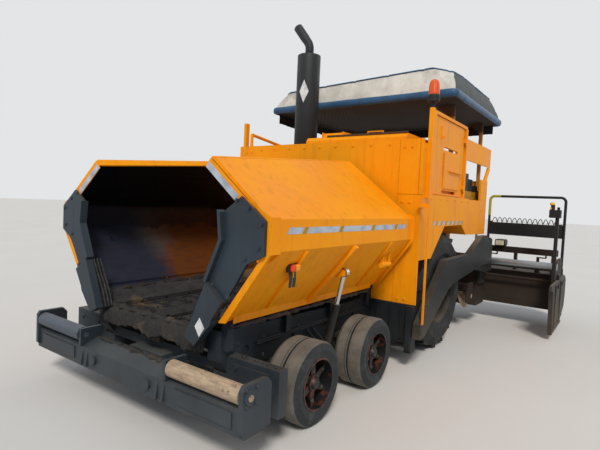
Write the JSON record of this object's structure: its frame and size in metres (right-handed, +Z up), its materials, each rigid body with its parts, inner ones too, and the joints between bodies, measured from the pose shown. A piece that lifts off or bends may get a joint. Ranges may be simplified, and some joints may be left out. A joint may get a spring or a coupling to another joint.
{
  "type": "wheeled asphalt paver",
  "caption": "Wheeled asphalt paver with folding hopper wings, slat conveyors, augers, canopy and a raised screed with sliding extensions.",
  "frame": {"origin": "on the ground under the middle of the whole machine as parked", "axes": "+Z up, -Y towards the hopper and push rollers (the way it drives), +X to the machine's left"},
  "size_m": [4.45, 6.25, 3.9019],
  "materials": {
    "yellow_paint": "semi-gloss, dusty",
    "dark_paint": "satin, worn",
    "worn_steel": "rusty and worn",
    "screed_steel": "matt, bitumen stained",
    "chrome": "polished",
    "rubber": "matt, torn",
    "tyre": "matt, dusty",
    "canvas": "weathered",
    "seat": "matt",
    "cast": "painted",
    "lamp": "clear orange",
    "cable": "matt"
  },
  "bodies": {
    "chassis": {"chassis_frame": "dark_paint", "bogie_beams": "dark_paint", "rear_axle": "dark_paint", "hopper_floor": "worn_steel", "conveyors": "worn_steel", "front_apron": "rubber", "tractor_body": "yellow_paint", "engine_block": "cast", "exhaust_stack": "dark_paint", "operator_platform": "yellow_paint", "operator_seats": "seat", "control_console": "dark_paint", "canopy_frame": "worn_steel", "canopy_cover": "canvas", "beacon": "lamp", "oil_filters": "dark_paint", "auger_frame": "dark_paint"},
    "hood": {"engine_hood": "yellow_paint"},
    "side_door": {"side_door": "yellow_paint"},
    "wing_left": {"wing_left": "yellow_paint", "wing_plate_left": "dark_paint"},
    "wing_right": {"wing_right": "yellow_paint", "wing_plate_right": "dark_paint"},
    "wing_barrel_left": {"wing_barrel_left": "dark_paint"},
    "wing_barrel_right": {"wing_barrel_right": "dark_paint"},
    "wing_rod_left": {"wing_rod_left": "chrome"},
    "wing_rod_right": {"wing_rod_right": "chrome"},
    "push_beam": {"push_beam": "dark_paint"},
    "push_roller_left": {"push_roller_left": "worn_steel"},
    "push_roller_right": {"push_roller_right": "dark_paint"},
    "screed": {"tow_arms": "dark_paint", "screed_body": "screed_steel"},
    "extension_left": {"extension_left": "screed_steel", "end_frame_left": "dark_paint", "spiral_cable": "cable"},
    "extension_right": {"extension_right": "screed_steel", "end_frame_right": "dark_paint"},
    "end_plate_left": {"end_plate_left": "dark_paint"},
    "end_plate_right": {"end_plate_right": "dark_paint"},
    "lift_barrels": {"lift_barrels": "dark_paint"},
    "lift_rods": {"lift_rods": "chrome"},
    "auger_left": {"auger_left": "worn_steel"},
    "auger_right": {"auger_right": "worn_steel"},
    "knuckle_left_1": {"knuckle_left_1": "dark_paint"},
    "front_wheel_left_1": {"front_wheel_left_1": "tyre"},
    "knuckle_right_1": {"knuckle_right_1": "dark_paint"},
    "front_wheel_right_1": {"front_wheel_right_1": "tyre"},
    "knuckle_left_2": {"knuckle_left_2": "dark_paint"},
    "front_wheel_left_2": {"front_wheel_left_2": "tyre"},
    "knuckle_right_2": {"knuckle_right_2": "dark_paint"},
    "front_wheel_right_2": {"front_wheel_right_2": "tyre"},
    "rear_wheel_left": {"rear_tyre_left": "tyre", "rear_rim_left": "dark_paint"},
    "rear_wheel_right": {"rear_tyre_right": "tyre", "rear_rim_right": "dark_paint"}
  },
  "joints": [
    {"name": "push_beam_swivel", "type": "hinge", "parent": "chassis", "child": "push_beam", "pos_m": [0, -2.84, 0.35], "axis": [0, 0, 1], "range_deg": [-4, 4]},
    {"name": "push_roller_left_turn", "type": "hinge", "parent": "push_beam", "child": "push_roller_left", "pos_m": [0.88, -3.067, 0.505], "axis": [1, 0, 0], "continuous": true},
    {"name": "push_roller_right_turn", "type": "hinge", "parent": "push_beam", "child": "push_roller_right", "pos_m": [-0.88, -3.067, 0.505], "axis": [1, 0, 0], "continuous": true},
    {"name": "steer_left_1", "type": "hinge", "parent": "chassis", "child": "knuckle_left_1", "pos_m": [0.8, -2.227, 0.312], "axis": [0, 0, 1], "range_deg": [-18, 18]},
    {"name": "front_wheel_left_1_turn", "type": "hinge", "parent": "knuckle_left_1", "child": "front_wheel_left_1", "pos_m": [1.045, -2.227, 0.312], "axis": [1, 0, 0], "continuous": true},
    {"name": "steer_right_1", "type": "hinge", "parent": "chassis", "child": "knuckle_right_1", "pos_m": [-0.8, -2.227, 0.312], "axis": [0, 0, 1], "range_deg": [-18, 18]},
    {"name": "front_wheel_right_1_turn", "type": "hinge", "parent": "knuckle_right_1", "child": "front_wheel_right_1", "pos_m": [-1.045, -2.227, 0.312], "axis": [1, 0, 0], "continuous": true},
    {"name": "steer_left_2", "type": "hinge", "parent": "chassis", "child": "knuckle_left_2", "pos_m": [0.8, -1.276, 0.312], "axis": [0, 0, 1], "range_deg": [-11.5, 11.5]},
    {"name": "front_wheel_left_2_turn", "type": "hinge", "parent": "knuckle_left_2", "child": "front_wheel_left_2", "pos_m": [1.045, -1.276, 0.312], "axis": [1, 0, 0], "continuous": true},
    {"name": "steer_right_2", "type": "hinge", "parent": "chassis", "child": "knuckle_right_2", "pos_m": [-0.8, -1.276, 0.312], "axis": [0, 0, 1], "range_deg": [-11.5, 11.5]},
    {"name": "front_wheel_right_2_turn", "type": "hinge", "parent": "knuckle_right_2", "child": "front_wheel_right_2", "pos_m": [-1.045, -1.276, 0.312], "axis": [1, 0, 0], "continuous": true},
    {"name": "rear_wheel_left_turn", "type": "hinge", "parent": "chassis", "child": "rear_wheel_left", "pos_m": [1.005, 0.335, 0.686], "axis": [1, 0, 0], "continuous": true},
    {"name": "auger_left_turn", "type": "hinge", "parent": "chassis", "child": "auger_left", "pos_m": [0.62, 1.52, 0.45], "axis": [1, 0, 0], "continuous": true},
    {"name": "wing_left_fold", "type": "hinge", "parent": "chassis", "child": "wing_left", "pos_m": [0.79, -1.7515, 0.79], "axis": [0, 1, 0], "range_deg": [0, 45]},
    {"name": "wing_barrel_left_swing", "type": "hinge", "parent": "chassis", "child": "wing_barrel_left", "pos_m": [0.925, -1.7515, 0.4], "axis": [0, 1, 0], "range_deg": [-0.5, 23.36]},
    {"name": "wing_rod_left_slide", "type": "slide", "parent": "wing_barrel_left", "child": "wing_rod_left", "axis": [-0.2156, 0, -0.9765], "range_m": [-0.005, 0.217]},
    {"name": "rear_wheel_right_turn", "type": "hinge", "parent": "chassis", "child": "rear_wheel_right", "pos_m": [-1.005, 0.335, 0.686], "axis": [1, 0, 0], "continuous": true},
    {"name": "auger_right_turn", "type": "hinge", "parent": "chassis", "child": "auger_right", "pos_m": [-0.62, 1.52, 0.45], "axis": [1, 0, 0], "continuous": true},
    {"name": "wing_right_fold", "type": "hinge", "parent": "chassis", "child": "wing_right", "pos_m": [-0.79, -1.7515, 0.79], "axis": [0, -1, 0], "range_deg": [0, 45]},
    {"name": "wing_barrel_right_swing", "type": "hinge", "parent": "chassis", "child": "wing_barrel_right", "pos_m": [-0.925, -1.7515, 0.4], "axis": [0, -1, 0], "range_deg": [-0.5, 23.36]},
    {"name": "wing_rod_right_slide", "type": "slide", "parent": "wing_barrel_right", "child": "wing_rod_right", "axis": [0.2156, 0, -0.9765], "range_m": [-0.005, 0.217]},
    {"name": "screed_lift", "type": "hinge", "parent": "chassis", "child": "screed", "pos_m": [0, -0.605, 0.4], "axis": [1, 0, 0], "range_deg": [-5.5, 2]},
    {"name": "extension_left_slide", "type": "slide", "parent": "screed", "child": "extension_left", "axis": [1, 0, 0], "range_m": [-0.82, 0.1]},
    {"name": "end_plate_left_slide", "type": "slide", "parent": "extension_left", "child": "end_plate_left", "axis": [0, 0, 1], "range_m": [0, 0.25]},
    {"name": "extension_right_slide", "type": "slide", "parent": "screed", "child": "extension_right", "axis": [-1, 0, 0], "range_m": [-0.82, 0.1]},
    {"name": "end_plate_right_slide", "type": "slide", "parent": "extension_right", "child": "end_plate_right", "axis": [0, 0, 1], "range_m": [0, 0.25]},
    {"name": "lift_barrels_swing", "type": "hinge", "parent": "chassis", "child": "lift_barrels", "pos_m": [0, 2.025, 1.98], "axis": [-1, 0, 0], "range_deg": [-4.46, 1.94]},
    {"name": "lift_rods_slide", "type": "slide", "parent": "lift_barrels", "child": "lift_rods", "axis": [0, 0.0511, 0.9987], "range_m": [-0.2524, 0.095]},
    {"name": "hood_lift", "type": "hinge", "parent": "chassis", "child": "hood", "pos_m": [0, 0.535, 2.287], "axis": [-1, 0, 0], "range_deg": [0, 35]},
    {"name": "side_door_swing", "type": "hinge", "parent": "chassis", "child": "side_door", "pos_m": [1.222, 0.871, 2.2], "axis": [0, 0, 1], "range_deg": [0, 100]}
  ],
  "couplings": [
    {"joint": "steer_right_1", "follows": "steer_left_1", "ratio": 1},
    {"joint": "steer_left_2", "follows": "steer_left_1", "ratio": 0.63},
    {"joint": "steer_right_2", "follows": "steer_left_1", "ratio": 0.63},
    {"joint": "wing_barrel_left_swing", "follows": "wing_left_fold", "ratio": 0.497},
    {"joint": "wing_rod_left_slide", "follows": "wing_left_fold", "m_per_rad": 0.26993},
    {"joint": "wing_barrel_right_swing", "follows": "wing_right_fold", "ratio": 0.497},
    {"joint": "wing_rod_right_slide", "follows": "wing_right_fold", "m_per_rad": 0.26993},
    {"joint": "lift_barrels_swing", "follows": "screed_lift", "ratio": 0.72},
    {"joint": "lift_rods_slide", "follows": "screed_lift", "m_per_rad": 2.5771}
  ]
}
